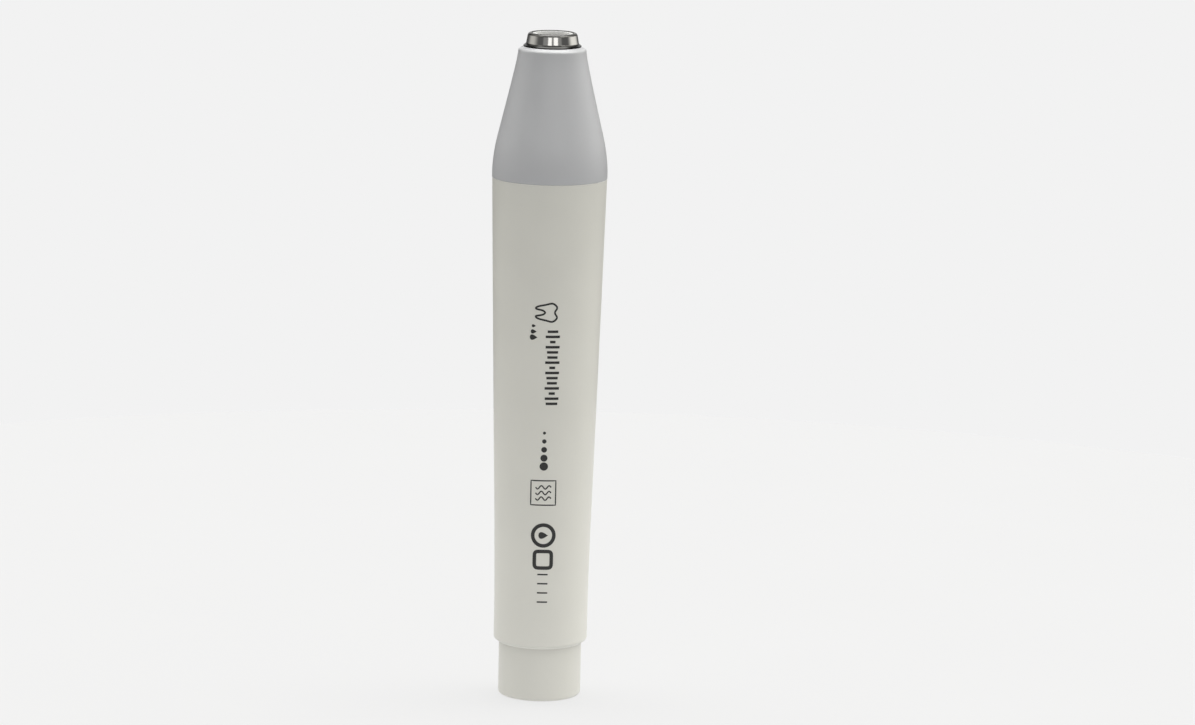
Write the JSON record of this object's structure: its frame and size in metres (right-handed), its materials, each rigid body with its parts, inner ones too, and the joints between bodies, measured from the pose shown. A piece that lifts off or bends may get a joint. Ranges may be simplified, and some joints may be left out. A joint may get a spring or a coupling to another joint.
{
  "type": "ultrasonic scaler handpiece",
  "caption": "Slim tapered handpiece for ultrasonic dental scaling: piezo transducer in a white shell, screw-on nose cone over an LED light guide, and a rear cord socket.",
  "frame": {"origin": "centre of the rear end face, on the handpiece's axis", "axes": "+Z along the axis from the cord socket to the tip stud; the socket's keyway is on -Y"},
  "size_m": [0.0188, 0.0188, 0.1104],
  "materials": {
    "shell_white": "warm white moulded plastic, soft satin gloss",
    "cone_grey": "cool light grey moulded plastic, smooth satin",
    "polished_steel": "mirror-polished stainless steel",
    "titanium": "fine-turned titanium",
    "steel": "turned stainless steel",
    "aluminium": "satin anodised",
    "peek_tan": "machined PEEK",
    "black_insulator": "black moulded insulator",
    "white_insulator": "PTFE sleeve",
    "gold_contact": "gold plated",
    "copper": "thin beryllium copper",
    "piezo_ceramic": "silvered piezo ceramic",
    "seal_rubber": "blue fluorosilicone",
    "silicone": "milky silicone",
    "lamp_moulding": "white moulded plastic",
    "board_white": "white solder mask",
    "led_phosphor": "yellow phosphor under clear resin",
    "clear_guide": "frosted clear plastic",
    "wire_red": "insulated wire",
    "wire_black": "insulated wire",
    "wire_white": "insulated wire",
    "wire_blue": "insulated wire"
  },
  "bodies": {
    "handle": {"handle_shell": "shell_white", "rear_housing": "shell_white", "horn": "titanium", "back_mass": "steel", "water_insert": "steel", "front_collar": "aluminium", "core_lock_ring": "aluminium", "carrier_tube": "peek_tan", "flange_clamp_ring": "peek_tan", "connector_core": "black_insulator", "lamp_contact_holder": "black_insulator", "stud_insulator": "white_insulator", "contact_socket_1": "gold_contact", "contact_socket_2": "gold_contact", "contact_socket_3": "gold_contact", "contact_socket_4": "gold_contact", "lamp_pin_1": "gold_contact", "lamp_pin_2": "gold_contact", "electrode_1": "copper", "electrode_2": "copper", "electrode_3": "copper", "electrode_4": "copper", "piezo_ring_1": "piezo_ceramic", "piezo_ring_2": "piezo_ceramic", "piezo_ring_3": "piezo_ceramic", "piezo_ring_4": "piezo_ceramic", "housing_o_ring": "seal_rubber", "core_o_ring": "seal_rubber", "horn_o_ring": "seal_rubber", "collar_rear_o_ring": "seal_rubber", "collar_front_o_ring": "seal_rubber", "isolator_rear": "silicone", "isolator_front": "silicone", "water_tube": "silicone", "piezo_lead_live": "wire_red", "piezo_lead_ground": "wire_black", "lamp_lead_1": "wire_white", "lamp_lead_2": "wire_blue"},
    "nose_seal": {"nose_seal": "seal_rubber"},
    "nose_cone": {"nose_cone": "cone_grey", "nose_ferrule": "polished_steel"},
    "light_guide": {"light_guide": "clear_guide"},
    "lamp": {"lamp_housing": "lamp_moulding", "lamp_board": "board_white", "lamp_socket_1": "gold_contact", "lamp_socket_2": "gold_contact", "led_1": "led_phosphor", "led_2": "led_phosphor", "led_3": "led_phosphor", "led_4": "led_phosphor", "led_5": "led_phosphor", "led_6": "led_phosphor"}
  },
  "joints": [
    {"name": "nose_travel", "type": "slide", "parent": "handle", "child": "nose_seal", "axis": [0, 0, 1], "range_m": [0, 0.052]},
    {"name": "nose_turn", "type": "hinge", "parent": "nose_seal", "child": "nose_cone", "pos_m": [0, 0, 0.09], "axis": [0, 0, 1], "range_deg": [0, 9360]},
    {"name": "guide_pull", "type": "slide", "parent": "handle", "child": "light_guide", "axis": [0, 0, 1], "range_m": [0, 0.024]},
    {"name": "lamp_pull", "type": "slide", "parent": "handle", "child": "lamp", "axis": [0, 0, 1], "range_m": [0, 0.02]}
  ],
  "couplings": [
    {"joint": "nose_travel", "follows": "nose_turn", "m_per_rad": 0.00031831},
    {"joint": "guide_pull", "follows": "nose_turn", "m_per_rad": 0.00014691},
    {"joint": "lamp_pull", "follows": "nose_turn", "m_per_rad": 0.00012243}
  ]
}
